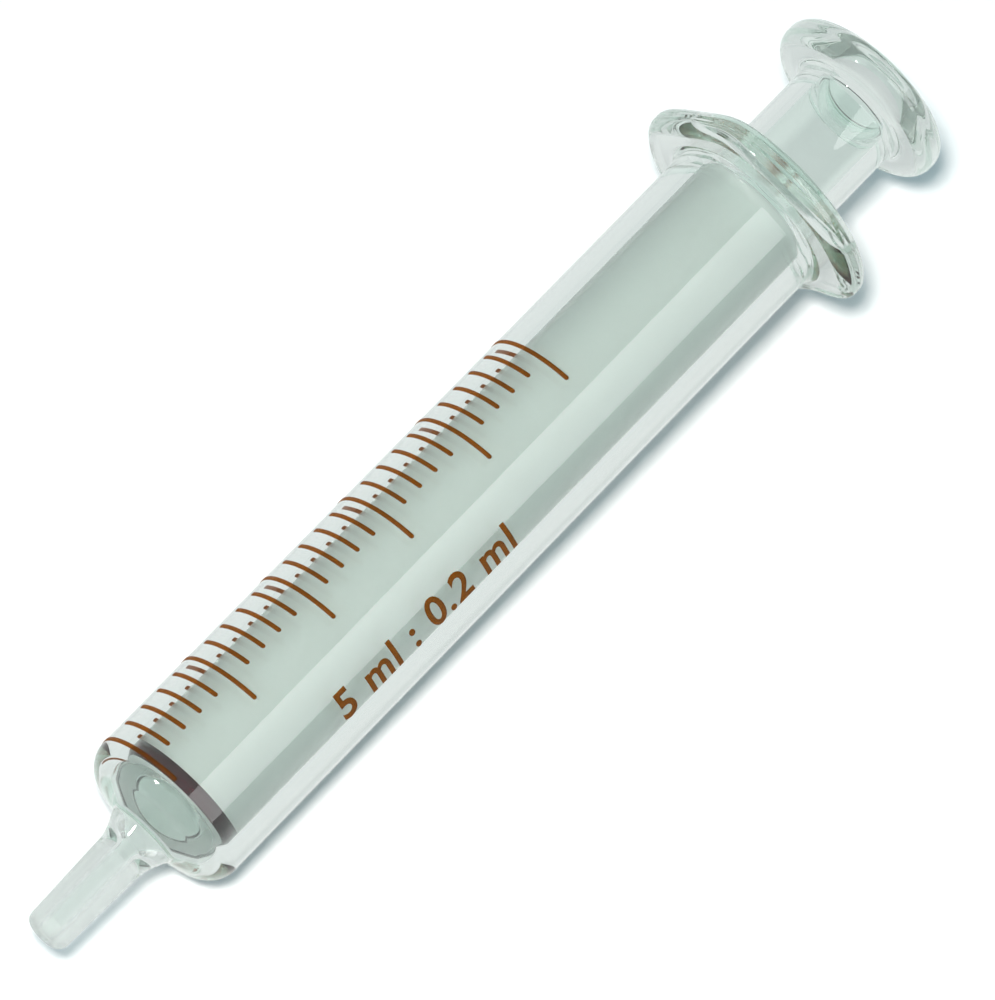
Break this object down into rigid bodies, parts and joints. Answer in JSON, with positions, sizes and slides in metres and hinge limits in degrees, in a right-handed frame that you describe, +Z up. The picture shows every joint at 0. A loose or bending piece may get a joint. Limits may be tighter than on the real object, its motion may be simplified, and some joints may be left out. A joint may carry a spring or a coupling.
{
  "type": "glass syringe",
  "caption": "Hollow glass plunger sliding in a glass barrel with conical nozzle, flat-sided flange, brown graduation lines and a dark reading ring.",
  "frame": {"origin": "centre of the bottom of the bounding box, on the surface that the syringe lies on", "axes": "+X runs from the nozzle towards the thumb disc, +Y across the finger flange, +Z up. The syringe's own axis leans up from +X by 3.25 degrees, as it lies on the rim of the flange and the edge of the shoulder"},
  "size_m": [0.1052, 0.0236, 0.0236],
  "materials": {
    "borosilicate_glass": "clear and fire polished, with the nozzle ground matt",
    "amber_stain": "fired, glossy",
    "dark_enamel": "fired, glossy"
  },
  "bodies": {
    "barrel": {"barrel": "borosilicate_glass", "graduation": "amber_stain"},
    "plunger": {"plunger": "borosilicate_glass", "reading_ring": "dark_enamel"}
  },
  "joints": [
    {"name": "plunger_slide", "type": "slide", "parent": "barrel", "child": "plunger", "axis": [0.9984, 0, 0.0567], "range_m": [0, 0.055]}
  ]
}
